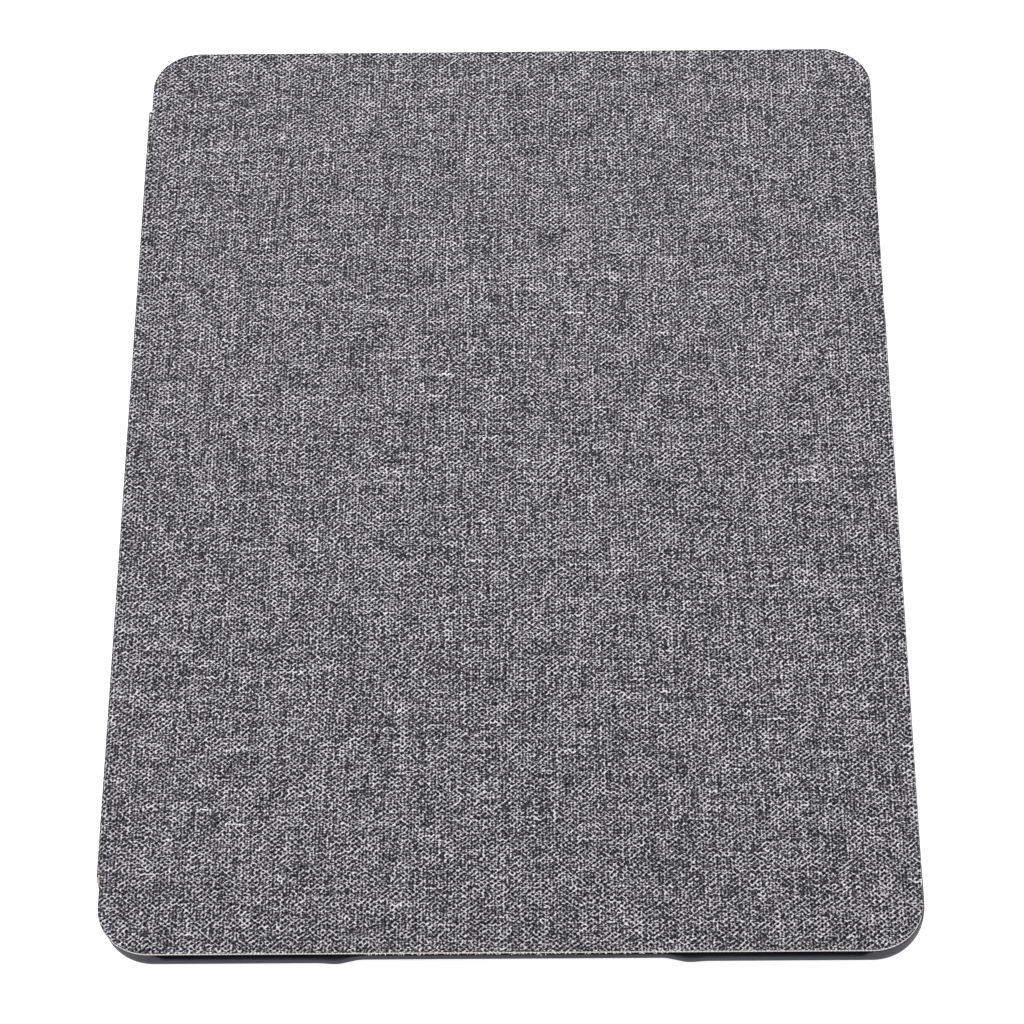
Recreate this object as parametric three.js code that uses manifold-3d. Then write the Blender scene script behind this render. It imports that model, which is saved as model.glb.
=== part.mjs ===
// A folio case with a keyboard for a tablet, closed and lying on its back panel.
// Millimetres. X runs from the spine to the free edge, Y along the spine, Z up through the layers.
import * as THREE from "three";
import { mergeVertices } from "three/addons/utils/BufferGeometryUtils.js";
import Module from "manifold-3d";

const wasm = await Module();
wasm.setup();

// ---- Driving dimensions ----

// The tablet that the case holds, and how the shell fits it.
const TABLET_WIDTH = 174.1;
const TABLET_LENGTH = 250.6;
const TABLET_THICKNESS = 6.1;
const TABLET_FIT = 0.3;

// The moulded shell.
const SHELL_WALL = 1.5;
const SHELL_FLOOR = 1.2;
const SHELL_CORNER = 11.5;
const SHELL_EDGE_ROUND = 6.75;
const RIM_BELOW_GLASS = 0.9; // the rim of the short sides stays below the glass
const SIDE_RIM_ABOVE_GLASS = 0.3;
const CORNER_RIM_ABOVE_GLASS = 1.25;
const LIP_REACH = 1.2; // the corner lips reach over the glass
const LIP_THICKNESS = 0.9;
const OUTBOARD_END = 40; // from the middle, where the low rim starts to step inwards
const OUTBOARD_JOG = 0.8;
const JOG_RUN = 8;
const CORNER_RIM_RUN = 14.5; // from the side, where the corner rim has come down
const CORNER_RIM_SLOPE = 4;
const BUTTON_DIP_LENGTH = 34;
const BUTTON_DIP_DEPTH = 2.2;
const BUTTON_DIP_FROM_TOP = 62;
const CAMERA_HOLE = 12;
const CAMERA_FROM_EDGE = 17;

// The laminated panels and the spine.
const FABRIC = 0.5;
const BOARD = 1.2;
const LINING = 0.3;
const SPINE_STIFFENER = 0.4;
const SPINE_LINING = 0.25;
const SPINE_SETBACK = 17.3; // from the tablet's end to the end of the spine
const GLUE = 0.05; // room for a line of glue
const HINGE_GAP = 0.3; // between pieces that a fold moves past each other
const PANEL_OVER_CORNER = 0.25;
const SPINE_TO_SHELL = 0.25;
const COVER_FREE_SETBACK = 0.35; // the shell shows beside the cover by this much
const COVER_FAR_SETBACK = 0.6;
const COVER_FLANGE = 7.5; // bare fabric between the spine fold and the cover's board
const BOARD_INSET = 2;
const BOARD_CORNER = 14;
const BACK_INSET = 6;
const BACK_CORNER = 13;
const STAND_FOLD_GAP = 3; // between the two boards of the back panel

// The keyboard, fixed to the inside of the cover.
const KEYBOARD_CLEAR = 4.3; // from the tablet's end to the end of the keyboard
const KEYBOARD_WIDTH = 108;
const KEYBOARD_FROM_FREE_EDGE = 5.6;
const KEYBOARD_CORNER = 5;
const DECK = 0.8;
const BASE_PLATE = 0.8;
const BASE_WALL = 1.4;
const BASE_PAD = 0.2;
const ROW_UNITS = 14.5; // key units in a row
const KEY_FIELD_MARGIN = 3.55; // from the keyboard's end to the first key unit
const KEY_GAP = 2.2;
const KEY_PROUD = 1.2; // a key stands this much out of the deck
const KEY_TRAVEL = 1.2;
const KEY_SLOT_FIT = 0.4;
const KEY_WEB = 0.4;
const KEY_UNDER_DECK = 0.1;
const KEY_TO_MEMBRANE = 0.15; // left over when a key is pressed
const FUNCTION_ROW = 9; // the size of a function key along X
const ROW_FIRST = 6.5; // from the keyboard's spine-side edge to the first row
const PLATE = 0.3;
const MEMBRANE = 0.25;
const CIRCUIT = 0.6;
const BATTERY_THICKNESS = 1.1;
const BUMPER_RADIUS = 2;
const BUMPER_PROUD = 0.85;
const SWITCH_TRAVEL = 2;
const PORT = { width: 9, height: 2.9, depth: 4.8, wall: 0.35, fit: 0.1 };
const PORT_Y = -14; // along the keyboard's spine-side edge

// The magnetic groove that the tablet stands in.
const GROOVE_LENGTH = 150;
const GROOVE_BAR_WIDTH = 12;
const GROOVE_BAR_HEIGHT = 3.2;
const GROOVE_WIDTH = 7.4;
const GROOVE_DEPTH = 1.5;
const GROOVE_TO_KEYBOARD = 5;

// Magnets.
const MAGNET = { width: 5, length: 18, thickness: 0.7 };
const MAGNET_FIT = 0.15;

// ---- Levels and places that follow ----

const shellWidth = TABLET_WIDTH + 2 * (TABLET_FIT + SHELL_WALL);
const shellLength = TABLET_LENGTH + 2 * (TABLET_FIT + SHELL_WALL);
const spineStack = FABRIC + SPINE_STIFFENER + SPINE_LINING + 2 * GLUE + SPINE_TO_SHELL;
const xLeft = -(shellWidth + spineStack) / 2;
const xRight = -xLeft;
const xShell = xLeft + spineStack;
const shellMiddle = (xShell + xRight) / 2;
const yFar = shellLength / 2;

const zBackFabric = 0;
const zBackBoard = zBackFabric + FABRIC + GLUE;
const zBackLining = zBackBoard + BOARD + GLUE;
const zShell = zBackLining + LINING + GLUE;
const zFloor = zShell + SHELL_FLOOR;
const zGlass = zFloor + LINING + GLUE + TABLET_THICKNESS;
const zLowRim = zGlass - RIM_BELOW_GLASS;
const zSideRim = zGlass + SIDE_RIM_ABOVE_GLASS;
const zCornerRim = zGlass + CORNER_RIM_ABOVE_GLASS;
const zCoverFabric = zCornerRim + PANEL_OVER_CORNER;
const zTop = zCoverFabric + FABRIC;
const zCoverBoard = zCoverFabric - GLUE - BOARD;
const zCoverLining = zCoverBoard - GLUE - LINING;

const hingeX = xLeft + FABRIC / 2;
const coverHingeZ = zCoverFabric + FABRIC / 2;
const backHingeZ = zBackFabric + FABRIC / 2;
const panelStart = hingeX + FABRIC / 2 + HINGE_GAP;
const boardStart = xShell + HINGE_GAP;

// ---- Materials ----

function finish(hex, roughness, metalness = 0) {
  return new THREE.MeshStandardMaterial({ color: hex, roughness, metalness });
}
const LINEN = finish("#7c7a7e", 0.95);
const MICROFIBRE = finish("#4a4b50", 0.98);
const GREYBOARD = finish("#77726a", 0.9);
const SHELL_PLASTIC = finish("#3c3e4a", 0.42);
const KEYBOARD_PLASTIC = finish("#34363c", 0.55);
const KEY_PLASTIC = finish("#24262b", 0.6);
const STEEL = finish("#9a9ca0", 0.35, 0.9);
const FILM = finish("#c9cbc4", 0.4);
const CIRCUIT_GREEN = finish("#2c5a42", 0.55);
const BATTERY_FOIL = finish("#b4b6ba", 0.35, 0.6);
const RUBBER = finish("#1f2023", 0.9);
const CLEAR_LENS = finish("#d8e6ee", 0.2);
const MAGNET_NICKEL = finish("#b9babd", 0.3, 0.95);

// ---- Solids ----

function solid(geometry) {
  const plain = geometry.clone();
  plain.deleteAttribute("normal");
  plain.deleteAttribute("uv");
  const merged = mergeVertices(plain, 1e-4);
  return new wasm.Manifold(
    new wasm.Mesh({
      numProp: 3,
      vertProperties: merged.attributes.position.array,
      triVerts: new Uint32Array(merged.index.array),
    }),
  );
}

function box(x0, x1, y0, y1, z0, z1) {
  const shape = new THREE.BoxGeometry(x1 - x0, y1 - y0, z1 - z0);
  return solid(shape.translate((x0 + x1) / 2, (y0 + y1) / 2, (z0 + z1) / 2));
}

function roundedRectangle(x0, x1, y0, y1, radius) {
  const r = Math.min(radius, (x1 - x0) / 2.01, (y1 - y0) / 2.01);
  const shape = new THREE.Shape();
  shape.moveTo(x0 + r, y0);
  shape.absarc(x1 - r, y0 + r, r, -Math.PI / 2, 0);
  shape.absarc(x1 - r, y1 - r, r, 0, Math.PI / 2);
  shape.absarc(x0 + r, y1 - r, r, Math.PI / 2, Math.PI);
  shape.absarc(x0 + r, y0 + r, r, Math.PI, Math.PI * 1.5);
  return shape;
}

function slab(shape, z0, z1, steps = 8) {
  const settings = { depth: z1 - z0, bevelEnabled: false, curveSegments: steps };
  return solid(new THREE.ExtrudeGeometry(shape, settings).translate(0, 0, z0));
}

function disc(x, y, radius, z0, z1, sides = 24) {
  const shape = new THREE.CylinderGeometry(radius, radius, z1 - z0, sides);
  return solid(shape.rotateX(Math.PI / 2).translate(x, y, (z0 + z1) / 2));
}

const assembly = new THREE.Group();

function add(name, body, material) {
  const mesh = body.getMesh();
  const geometry = new THREE.BufferGeometry();
  geometry.setAttribute("position", new THREE.BufferAttribute(mesh.vertProperties, 3));
  geometry.setIndex(new THREE.BufferAttribute(mesh.triVerts, 1));
  const part = new THREE.Mesh(geometry, material);
  part.name = name;
  assembly.add(part);
  return part;
}

// ---- Tablet shell ----

function smooth(t) {
  const u = Math.min(1, Math.max(0, t));
  return u * u * (3 - 2 * u);
}

// How far a short side steps inwards at a distance from its middle, and its small bump beside the step.
function shortSideInset(distance) {
  const stepped = 1 - smooth((distance - (OUTBOARD_END - JOG_RUN)) / (JOG_RUN * 0.7));
  const bump = Math.exp(-(((distance - OUTBOARD_END + JOG_RUN * 0.2) / 2.2) ** 2));
  return OUTBOARD_JOG * stepped - 0.25 * bump;
}

// The rim's height at a place on the outline.
function rimHeight(x, y, onShortSide) {
  const fromSide = shellWidth / 2 - Math.abs(x - shellMiddle);
  if (onShortSide) {
    const down = smooth((fromSide - (CORNER_RIM_RUN - CORNER_RIM_SLOPE)) / CORNER_RIM_SLOPE);
    return zCornerRim + (zLowRim - zCornerRim) * down;
  }
  const fromEnd = yFar - Math.abs(y);
  const down = smooth((fromEnd - CORNER_RIM_RUN) / (2 * CORNER_RIM_SLOPE));
  let height = zCornerRim + (zSideRim - zCornerRim) * down;
  const fromDip = Math.abs(yFar - BUTTON_DIP_FROM_TOP - y) - BUTTON_DIP_LENGTH / 2;
  if (x > shellMiddle) height -= BUTTON_DIP_DEPTH * (1 - smooth(fromDip / CORNER_RIM_SLOPE));
  return height;
}

const CORNER_STEPS = 8;
const BEND_STEPS = 7;
const ARC_STEPS = 5;

// Points around the shell: place, inward direction, rim height and how much of the lip is there.
function shellOutline() {
  const points = [];
  const halfW = shellWidth / 2;
  const r = SHELL_CORNER;
  const corner = (cx, cy, start) => {
    for (let i = 0; i <= CORNER_STEPS; i += 1) {
      const a = start + (Math.PI / 2) * (i / CORNER_STEPS);
      const direction = [Math.cos(a), Math.sin(a)];
      const lip = Math.sin((Math.PI * i) / CORNER_STEPS);
      const [x, y] = [cx + r * direction[0], cy + r * direction[1]];
      points.push({ x, y, nx: -direction[0], ny: -direction[1], rim: zCornerRim, lip });
    }
  };
  // Distances from the middle of a short side where its outline or its rim bends.
  const bends = [];
  for (let i = 0; i <= BEND_STEPS; i += 1) {
    bends.push(halfW - CORNER_RIM_RUN + (CORNER_RIM_SLOPE * i) / BEND_STEPS);
    bends.push(OUTBOARD_END - JOG_RUN + ((JOG_RUN + 4) * i) / BEND_STEPS);
  }
  const stops = bends.filter((d) => d < halfW - r - 0.2).sort((a, b) => a - b);
  const across = [...stops.map((d) => -d).reverse(), 0, ...stops];
  const shortSide = (sign) => {
    across.forEach((d) => {
      const x = shellMiddle - sign * d;
      const inset = shortSideInset(Math.abs(d));
      points.push({ x, y: sign * (yFar - inset), nx: 0, ny: -sign, rim: rimHeight(x, 0, true), lip: 0 });
    });
  };
  const longSide = (sign) => {
    const dip = yFar - BUTTON_DIP_FROM_TOP;
    const ends = [0];
    for (let i = 0; i <= 4; i += 1) {
      const slope = (CORNER_RIM_SLOPE * i) / 4;
      ends.push(yFar - CORNER_RIM_RUN - 2 * slope, -(yFar - CORNER_RIM_RUN - 2 * slope));
      if (sign > 0) ends.push(dip + BUTTON_DIP_LENGTH / 2 + slope, dip - BUTTON_DIP_LENGTH / 2 - slope);
    }
    ends.sort((a, b) => sign * (a - b));
    ends.forEach((y) => {
      const x = shellMiddle + sign * halfW;
      points.push({ x, y, nx: -sign, ny: 0, rim: rimHeight(x, y, false), lip: 0 });
    });
  };
  corner(shellMiddle + halfW - r, yFar - r, 0);
  shortSide(1);
  corner(shellMiddle - halfW + r, yFar - r, Math.PI / 2);
  longSide(-1);
  corner(shellMiddle - halfW + r, -yFar + r, Math.PI);
  shortSide(-1);
  corner(shellMiddle + halfW - r, -yFar + r, Math.PI * 1.5);
  longSide(1);
  return points;
}

// The levels of the wall's section, from the bottom outside, over the rim, to the floor inside.
function shellRings() {
  const round = Math.min(SHELL_EDGE_ROUND, zLowRim - zShell - 0.05, SHELL_CORNER - 0.5);
  const inner = Math.max(0.5, round - SHELL_WALL);
  const arc = Array.from({ length: ARC_STEPS + 1 }, (_, i) => (i * Math.PI) / 2 / ARC_STEPS);
  const rings = [];
  arc.forEach((a) => {
    rings.push(() => [round * (1 - Math.sin(a)), zShell + round * (1 - Math.cos(a))]);
  });
  rings.push((p) => [0, p.rim - 0.3]);
  rings.push((p) => [0.3, p.rim]);
  rings.push((p) => [SHELL_WALL - 0.2 + LIP_REACH * p.lip, p.rim]);
  rings.push((p) => [SHELL_WALL + LIP_REACH * p.lip, p.rim - 0.2]);
  rings.push((p) => [SHELL_WALL + LIP_REACH * p.lip, p.rim - LIP_THICKNESS]);
  rings.push((p) => [SHELL_WALL, p.rim - LIP_THICKNESS - 0.1]);
  [...arc].reverse().forEach((a) => {
    const z = zFloor + inner * (1 - Math.cos(a));
    rings.push((p) => [SHELL_WALL + inner * (1 - Math.sin(a)), Math.min(z, p.rim - LIP_THICKNESS - 0.2)]);
  });
  return rings;
}

function shellBody() {
  const outline = shellOutline();
  const rings = shellRings();
  const n = outline.length;
  const positions = [];
  rings.forEach((ring) => {
    outline.forEach((p) => {
      const [inset, z] = ring(p);
      positions.push(p.x + p.nx * inset, p.y + p.ny * inset, z);
    });
  });
  const index = [];
  for (let k = 0; k + 1 < rings.length; k += 1) {
    for (let i = 0; i < n; i += 1) {
      const j = (i + 1) % n;
      const [a, b, c, d] = [k * n + i, k * n + j, (k + 1) * n + j, (k + 1) * n + i];
      index.push(a, b, c, a, c, d);
    }
  }
  const lastRing = (rings.length - 1) * n;
  const bottom = positions.length / 3;
  positions.push(shellMiddle, 0, zShell, shellMiddle, 0, zFloor);
  for (let i = 0; i < n; i += 1) {
    const j = (i + 1) % n;
    index.push(bottom, j, i, bottom + 1, lastRing + i, lastRing + j);
  }
  const geometry = new THREE.BufferGeometry();
  geometry.setAttribute("position", new THREE.BufferAttribute(new Float32Array(positions), 3));
  geometry.setIndex(index);
  return solid(geometry);
}

const cameraX = xRight - CAMERA_FROM_EDGE;
const cameraY = yFar - CAMERA_FROM_EDGE;

function cameraHole(z0, z1) {
  return disc(cameraX, cameraY, CAMERA_HOLE / 2, z0 - 1, z1 + 1, 28);
}

function buildShell() {
  const shell = shellBody().subtract(cameraHole(zShell, zFloor));
  add("tablet_shell", shell, SHELL_PLASTIC);
  const inset = SHELL_EDGE_ROUND + 1;
  const shape = roundedRectangle(xShell + inset, xRight - inset, -yFar + inset, yFar - inset, 4);
  const liner = slab(shape, zFloor + GLUE, zFloor + GLUE + LINING, 4);
  add("shell_liner", liner.subtract(cameraHole(zFloor, zFloor + LINING)), MICROFIBRE);
}

// ---- Back panel ----

function buildBack() {
  const right = xRight - BACK_INSET;
  const [y0, y1] = [-yFar + BACK_INSET, yFar - BACK_INSET];
  const outline = roundedRectangle(panelStart, right, y0, y1, BACK_CORNER);
  const fabric = slab(outline, zBackFabric, zBackFabric + FABRIC);
  add("back_fabric", fabric.subtract(cameraHole(0, FABRIC)), LINEN);
  const edge = 1;
  const fold = shellMiddle;
  const [z0, z1] = [zBackBoard, zBackBoard + BOARD];
  const inner = roundedRectangle(boardStart, right - edge, y0 + edge, y1 - edge, BACK_CORNER - edge);
  const board = slab(inner, z0, z1).subtract(cameraHole(z0, z1));
  const half = (x0, x1) => board.intersect(box(x0, x1, y0, y1, z0 - 1, z1 + 1));
  add("back_board_stand", half(xLeft, fold - STAND_FOLD_GAP / 2), GREYBOARD);
  add("back_board_shell", half(fold + STAND_FOLD_GAP / 2, xRight), GREYBOARD);
  const sheet = slab(inner, zBackLining, zBackLining + LINING);
  add("back_lining", sheet.subtract(cameraHole(zBackLining, zShell)), MICROFIBRE);
}

// ---- Spine ----

function buildSpine() {
  const y1 = TABLET_LENGTH / 2 - SPINE_SETBACK;
  const y0 = -y1;
  const z0 = backHingeZ + FABRIC / 2 + HINGE_GAP;
  const z1 = coverHingeZ - FABRIC / 2 - HINGE_GAP;
  const stiffenerX = xLeft + FABRIC + GLUE;
  const liningX = stiffenerX + SPINE_STIFFENER + GLUE;
  const inset = HINGE_GAP + 0.2;
  add("spine_fabric", box(xLeft, xLeft + FABRIC, y0, y1, z0, z1), LINEN);
  const [a, b] = [z0 + inset, z1 - inset];
  add("spine_stiffener", box(stiffenerX, stiffenerX + SPINE_STIFFENER, y0 + 1, y1 - 1, a, b), GREYBOARD);
  add("spine_lining", box(liningX, liningX + SPINE_LINING, y0 + 1, y1 - 1, a, b), MICROFIBRE);
}

// ---- Cover ----

const boardRight = xRight - BOARD_INSET;
const boardFar = yFar - BOARD_INSET;
const magnetX = boardRight - MAGNET.width / 2 - 3;
const magnetRow = [-1, 0, 1].map((side) => side * shellLength * 0.3);

function magnetBody(x, y, z0, room = 0) {
  const [w, l] = [MAGNET.width / 2 + room, MAGNET.length / 2 + room];
  return box(x - w, x + w, y - l, y + l, z0 - room, z0 + MAGNET.thickness + room);
}

function buildCover() {
  const right = xRight - COVER_FREE_SETBACK;
  const far = yFar - COVER_FAR_SETBACK;
  const fabric = roundedRectangle(panelStart, right, -yFar, far, SHELL_CORNER);
  add("front_fabric", slab(fabric, zCoverFabric, zTop, 10), LINEN);
  // The board and the lining lie inside the shell's rim, and their round corners clear its lips. At the
  // spine the flange leaves them room to swing over the rim.
  const shape = roundedRectangle(hingeX + COVER_FLANGE, boardRight, -boardFar, boardFar, BOARD_CORNER);
  const magnetZ = zCoverBoard + MAGNET_FIT;
  let board = slab(shape, zCoverBoard, zCoverBoard + BOARD);
  magnetRow.forEach((y, i) => {
    board = board.subtract(magnetBody(magnetX, y, zCoverBoard, MAGNET_FIT * 2));
    add(`closure_magnet_${i + 1}`, magnetBody(magnetX, y, magnetZ - MAGNET_FIT / 2), MAGNET_NICKEL);
  });
  add("front_board", board, GREYBOARD);
  add("front_lining", slab(shape, zCoverLining, zCoverLining + LINING), MICROFIBRE);
}

// ---- Keyboard ----

const keyboardRight = xRight - KEYBOARD_FROM_FREE_EDGE;
const keyboardLeft = keyboardRight - KEYBOARD_WIDTH;
const keyboardEnd = TABLET_LENGTH / 2 - KEYBOARD_CLEAR;
const keyPitch = (2 * (keyboardEnd - KEY_FIELD_MARGIN)) / ROW_UNITS;
const KEY_DEPTH = 14; // of a letter key, across its row
const zPad = zCoverLining - GLUE - BASE_PAD;
const zBase = zPad - GLUE - BASE_PLATE; // underside of the base plate
const zPlate = zBase - GLUE - PLATE;
const zMembrane = zPlate - GLUE - MEMBRANE;
const zWeb = zMembrane - KEY_TO_MEMBRANE - KEY_TRAVEL - KEY_WEB;
const zDeckTop = zWeb - KEY_UNDER_DECK; // inner face of the deck
const zDeck = zDeckTop - DECK; // the face that the user sees
const zKeys = zDeck - KEY_PROUD;
const deckToBase = zBase - zDeckTop;

// Each row: how far across the keyboard it starts and ends, and its nodes with their widths in key units.
const NUMBERS = Array(13).fill(1);
const LETTERS = Array(13).fill(1);
const HOME = Array(11).fill(1);
const LOWER = Array(10).fill(1);
const ROWS = [
  { size: FUNCTION_ROW, groups: [["escape", [1]], ["function", Array(12).fill(1)], ["lock", [1.5]]] },
  { size: KEY_DEPTH, groups: [["numbers", NUMBERS], ["backspace", [1.5]]] },
  { size: KEY_DEPTH, groups: [["tab", [1.5]], ["upper_letters", LETTERS]] },
  { size: KEY_DEPTH, groups: [["caps", [1.75]], ["home_letters", HOME], ["return", [1.75]]] },
  { size: KEY_DEPTH, groups: [["left_shift", [2.25]], ["lower_letters", LOWER], ["right_shift", [2.25]]] },
  {
    size: KEY_DEPTH,
    groups: [
      ["fn", [1]],
      ["control", [1]],
      ["left_option", [1]],
      ["left_command", [1.25]],
      ["space", [5]],
      ["right_command", [1.25]],
      ["right_option", [1]],
      ["arrow_left", [1]],
      ["arrow_up", [1], 0],
      ["arrow_down", [1], 1],
      ["arrow_right", [1]],
    ],
  },
];

// Each key group as boxes on the keyboard: rows run along Y, from the far end to the near end.
function keyLayout() {
  const layout = [];
  let x = keyboardLeft + ROW_FIRST;
  ROWS.forEach((row) => {
    let y = (ROW_UNITS * keyPitch) / 2;
    row.groups.forEach(([name, widths, half]) => {
      const caps = widths.map((units) => {
        const cap = { y0: y - units * keyPitch + KEY_GAP / 2, y1: y - KEY_GAP / 2, x0: x, x1: x + row.size };
        y -= units * keyPitch;
        return cap;
      });
      if (half !== undefined) {
        const each = (row.size - 0.8) / 2;
        caps[0].x0 = x + half * (each + 0.8);
        caps[0].x1 = caps[0].x0 + each;
        if (half === 0) y += keyPitch;
      }
      layout.push({ name, caps });
    });
    x += row.size + KEY_GAP;
  });
  return layout;
}

function keyBody(caps) {
  const low = caps[caps.length - 1].y0;
  const high = caps[0].y1;
  let key = box(caps[0].x0 - 0.1, caps[0].x1 + 0.1, low - 0.1, high + 0.1, zWeb, zWeb + KEY_WEB);
  caps.forEach((c) => {
    key = key.add(slab(roundedRectangle(c.x0, c.x1, c.y0, c.y1, 1.2), zKeys, zWeb + 0.1, 1));
  });
  return key;
}

function buildKeyboard() {
  const outline = (inset, radius) =>
    roundedRectangle(
      keyboardLeft + inset,
      keyboardRight - inset,
      -keyboardEnd + inset,
      keyboardEnd - inset,
      radius,
    );
  const layout = keyLayout();
  let deck = slab(outline(0, KEYBOARD_CORNER), zDeck, zDeckTop, 5);
  layout.forEach(({ name, caps }) => {
    caps.forEach((c) => {
      const f = KEY_SLOT_FIT;
      deck = deck.subtract(box(c.x0 - f, c.x1 + f, c.y0 - f, c.y1 + f, zDeck - 1, zDeckTop + 1));
    });
    add(`key_${name}`, keyBody(caps), KEY_PLASTIC);
  });
  const switchX = keyboardLeft + ROW_FIRST / 2;
  const switchY = keyboardEnd - 24;
  const lensY = switchY - 14;
  const slot = [switchX - 1.3, switchX + 1.3, switchY - 3.4 - SWITCH_TRAVEL, switchY + 3.4];
  deck = deck.subtract(box(...slot, zDeck - 1, zDeckTop + 1));
  deck = deck.subtract(disc(switchX, lensY, 0.9, zDeck - 1, zDeckTop + 1, 14));
  const knob = box(switchX - 1, switchX + 1, switchY - 2.2, switchY + 2.2, zDeck - 0.35, zDeckTop);
  const shoe = box(switchX - 1.4, switchX + 1.4, switchY - 2.9, switchY + 2.9, zDeckTop + 0.05, zDeckTop + 0.5);
  const neck = box(switchX - 0.9, switchX + 0.9, switchY - 2, switchY + 2, zDeckTop - 0.1, zDeckTop + 0.2);
  add("power_switch", knob.add(neck).add(shoe), KEY_PLASTIC);
  const pin = disc(switchX, lensY, 0.75, zDeck, zDeckTop + 0.1, 14);
  add("indicator_lens", pin.add(disc(switchX, lensY, 1.4, zDeckTop + 0.08, zDeckTop + 0.5, 14)), CLEAR_LENS);

  // The charging port sits in the spine-side wall, let into the deck and the base.
  const [portIn, portOut] = [keyboardLeft + 0.2, keyboardLeft + PORT.depth];
  const portSides = [PORT_Y - PORT.width / 2, PORT_Y + PORT.width / 2];
  const portZ = [-1, 1].map((side) => zDeckTop + (deckToBase + side * PORT.height) / 2);
  const port = box(portIn, portOut, ...portSides, ...portZ);
  const [wall, fit] = [PORT.wall, PORT.fit];
  const socket = box(
    keyboardLeft - 1,
    portOut - 1,
    portSides[0] + wall,
    portSides[1] - wall,
    portZ[0] + wall,
    portZ[1] - wall,
  );
  const portPocket = box(
    keyboardLeft - 1,
    portOut + fit,
    portSides[0] - fit,
    portSides[1] + fit,
    portZ[0] - fit,
    portZ[1] + fit,
  );
  add("charging_port", port.subtract(socket), STEEL);
  add("keyboard_deck", deck.subtract(portPocket), KEYBOARD_PLASTIC);

  // The base is a tray: a plate with a wall that meets the deck.
  const tray = slab(outline(0, KEYBOARD_CORNER), zDeckTop + GLUE, zBase + BASE_PLATE, 5);
  const hollow = slab(outline(BASE_WALL, KEYBOARD_CORNER - BASE_WALL), zDeckTop - 1, zBase, 4);
  add("keyboard_base", tray.subtract(hollow).subtract(portPocket), KEYBOARD_PLASTIC);
  add("keyboard_pad", slab(outline(2, KEYBOARD_CORNER - 2), zPad, zPad + BASE_PAD, 3), FILM);

  // Inside: the key plate and membrane under the keys, the board and cell beside the first row.
  const innerLeft = keyboardLeft + BASE_WALL + HINGE_GAP;
  const innerRight = keyboardRight - BASE_WALL - HINGE_GAP;
  const innerEnd = keyboardEnd - BASE_WALL - HINGE_GAP;
  const plateStart = keyboardLeft + ROW_FIRST - 1;
  const innerCorner = KEYBOARD_CORNER - BASE_WALL;
  const sheet = (x0, x1, y0, y1, z0, thickness) =>
    slab(roundedRectangle(x0, x1, y0, y1, innerCorner), z0, z0 + thickness, 3);
  add("key_plate", sheet(plateStart, innerRight, -innerEnd, innerEnd, zPlate, PLATE), STEEL);
  add("membrane_sheet", sheet(plateStart, innerRight, -innerEnd, innerEnd, zMembrane, MEMBRANE), FILM);
  const stripEnd = plateStart - HINGE_GAP;
  const stripReach = innerEnd - innerCorner;
  const circuitZ = zBase - GLUE - CIRCUIT;
  const circuit = sheet(innerLeft, stripEnd, portSides[1] + 3, stripReach, circuitZ, CIRCUIT);
  add("circuit_board", circuit, CIRCUIT_GREEN);
  const cellZ = zBase - GLUE - BATTERY_THICKNESS;
  const cell = sheet(innerLeft, stripEnd, -stripReach, portSides[0] - 3, cellZ, BATTERY_THICKNESS);
  add("battery", cell, BATTERY_FOIL);

  // Soft bumpers at the deck's corners keep the keys off the glass.
  let count = 0;
  [-1, 1].forEach((end) => {
    [keyboardLeft + 3.2, keyboardRight - 3.2].forEach((x) => {
      count += 1;
      const y = end * (keyboardEnd - 2.6);
      const bumper = disc(x, y, BUMPER_RADIUS, zDeck - GLUE - BUMPER_PROUD, zDeck - GLUE, 16);
      add(`deck_bumper_${count}`, bumper, RUBBER);
    });
  });
}

// The bar beside the keyboard with the groove that the tablet's edge stands in.
function buildGroove() {
  const right = keyboardLeft - GROOVE_TO_KEYBOARD;
  const left = right - GROOVE_BAR_WIDTH;
  const end = GROOVE_LENGTH / 2;
  const z1 = zCoverLining - GLUE;
  const z0 = z1 - GROOVE_BAR_HEIGHT;
  const middle = (left + right) / 2;
  const groove = box(middle - GROOVE_WIDTH / 2, middle + GROOVE_WIDTH / 2, -end - 1, end + 1, z0 - 1, z0 + GROOVE_DEPTH);
  let bar = slab(roundedRectangle(left, right, -end, end, 2), z0, z1, 3).subtract(groove);
  [-1, 1].forEach((side, i) => {
    const y = side * end * 0.6;
    bar = bar.subtract(magnetBody(middle, y, z1 - MAGNET.thickness, MAGNET_FIT * 2));
    add(`stand_magnet_${i + 1}`, magnetBody(middle, y, z1 - MAGNET.thickness - MAGNET_FIT / 2), MAGNET_NICKEL);
  });
  add("tablet_groove_bar", bar, KEYBOARD_PLASTIC);
}

buildBack();
buildShell();
buildSpine();
buildCover();
buildGroove();
buildKeyboard();

export default assembly;
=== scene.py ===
"""A folio keyboard case for a tablet: the looks of its fabric, shell, linings and keyboard."""

import math
import random

import bmesh
import bpy
from mathutils import Matrix, Quaternion, Vector


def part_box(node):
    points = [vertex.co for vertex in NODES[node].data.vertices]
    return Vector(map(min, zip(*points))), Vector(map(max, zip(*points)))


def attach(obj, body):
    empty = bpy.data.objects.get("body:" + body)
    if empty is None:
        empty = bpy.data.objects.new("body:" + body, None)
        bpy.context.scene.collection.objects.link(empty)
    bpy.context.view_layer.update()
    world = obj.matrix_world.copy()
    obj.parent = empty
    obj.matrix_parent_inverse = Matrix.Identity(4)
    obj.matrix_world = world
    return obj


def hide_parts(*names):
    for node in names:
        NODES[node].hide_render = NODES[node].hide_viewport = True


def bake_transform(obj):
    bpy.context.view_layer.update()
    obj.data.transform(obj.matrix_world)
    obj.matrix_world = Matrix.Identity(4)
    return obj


bl_info = {
    "name": "Tablet keyboard case",
    "version": (1, 0, 0),
    "blender": (4, 5, 0),
    "location": "View3D > Sidebar > Case",
    "description": "Builds the woven folio, its moulded shell, its keyboard and a studio",
    "category": "Object",
}

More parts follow.
